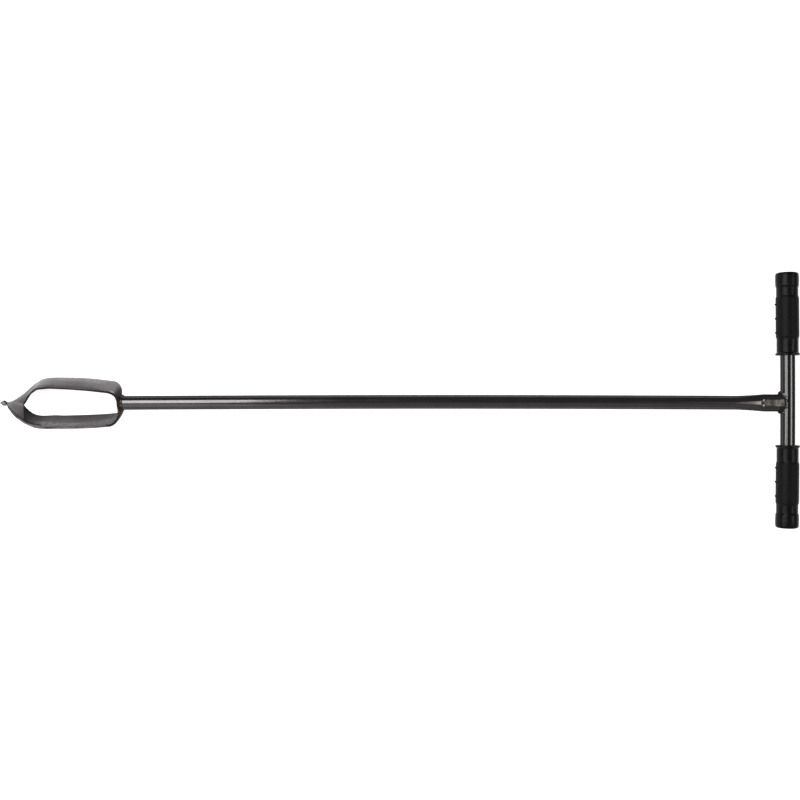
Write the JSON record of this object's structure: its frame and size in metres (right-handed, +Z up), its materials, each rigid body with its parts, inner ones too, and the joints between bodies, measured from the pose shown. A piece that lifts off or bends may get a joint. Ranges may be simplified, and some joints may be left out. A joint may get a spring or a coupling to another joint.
{
  "type": "hand earth auger",
  "caption": "Two-bladed hand soil auger: twisted spade point, open curved blades on a yoke, long tube shaft and a welded T-handle with rubber grips.",
  "frame": {"origin": "under the middle of the tool's length, below the shaft's axis, level with the head's lowest point", "axes": "+X along the shaft from the point to the handle, +Y along the cross tube towards the upper grip, +Z up from the ground the tool lies on"},
  "size_m": [1.2652, 0.404, 0.0655],
  "materials": {
    "shaft_paint": "gloss",
    "zinc_plate": "bright",
    "grip_rubber": "matt",
    "weld_steel": "rough",
    "blade_steel": "satin"
  },
  "bodies": {
    "root": {"shaft_tube": "shaft_paint", "cross_tube": "zinc_plate", "upper_grip": "grip_rubber", "lower_grip": "grip_rubber", "handle_weld": "weld_steel", "upper_blade": "blade_steel", "lower_blade": "blade_steel", "screw_point": "blade_steel", "yoke_weld": "weld_steel"}
  },
  "joints": []
}
